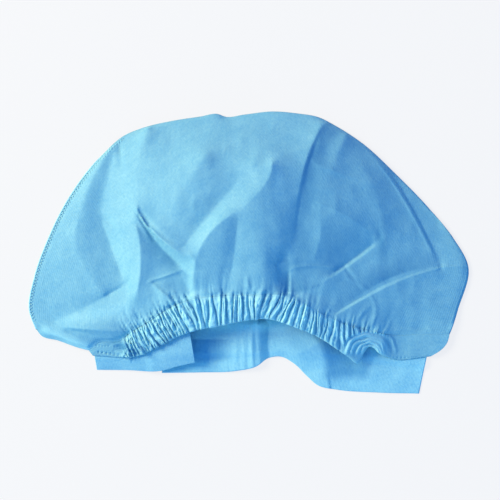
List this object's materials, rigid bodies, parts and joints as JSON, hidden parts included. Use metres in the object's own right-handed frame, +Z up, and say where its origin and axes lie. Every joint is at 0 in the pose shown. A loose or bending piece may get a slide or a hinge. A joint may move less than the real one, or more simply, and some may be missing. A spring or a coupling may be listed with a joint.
{
  "type": "surgical cap",
  "caption": "Soft disposable surgical cap of thin non-woven cloth with a gathered elastic back hem and a plain front band, lying flat with its back upwards.",
  "frame": {"origin": "middle of the box that holds the lying cap, on the surface it lies on", "axes": "+X along the cap's width towards the side with the large flap, +Y from the mouth towards the crown's top, +Z up from the surface"},
  "size_m": [0.3094, 0.199, 0.0319],
  "materials": {
    "back_cloth": "matt sky blue spunbond cloth with a fine embossed dot grid",
    "front_cloth": "matt sky blue spunbond cloth with a fine embossed dot grid",
    "casing_cloth": "doubled and gathered sky blue spunbond cloth",
    "band_cloth": "doubled sky blue spunbond cloth, lightly creased",
    "seam_thread": "pale blue overlocking thread"
  },
  "bodies": {
    "root": {"back_panel": "back_cloth", "front_panel": "front_cloth", "elastic_casing": "casing_cloth", "front_band": "band_cloth", "band_overlap": "band_cloth", "edge_seam": "seam_thread"}
  },
  "joints": []
}
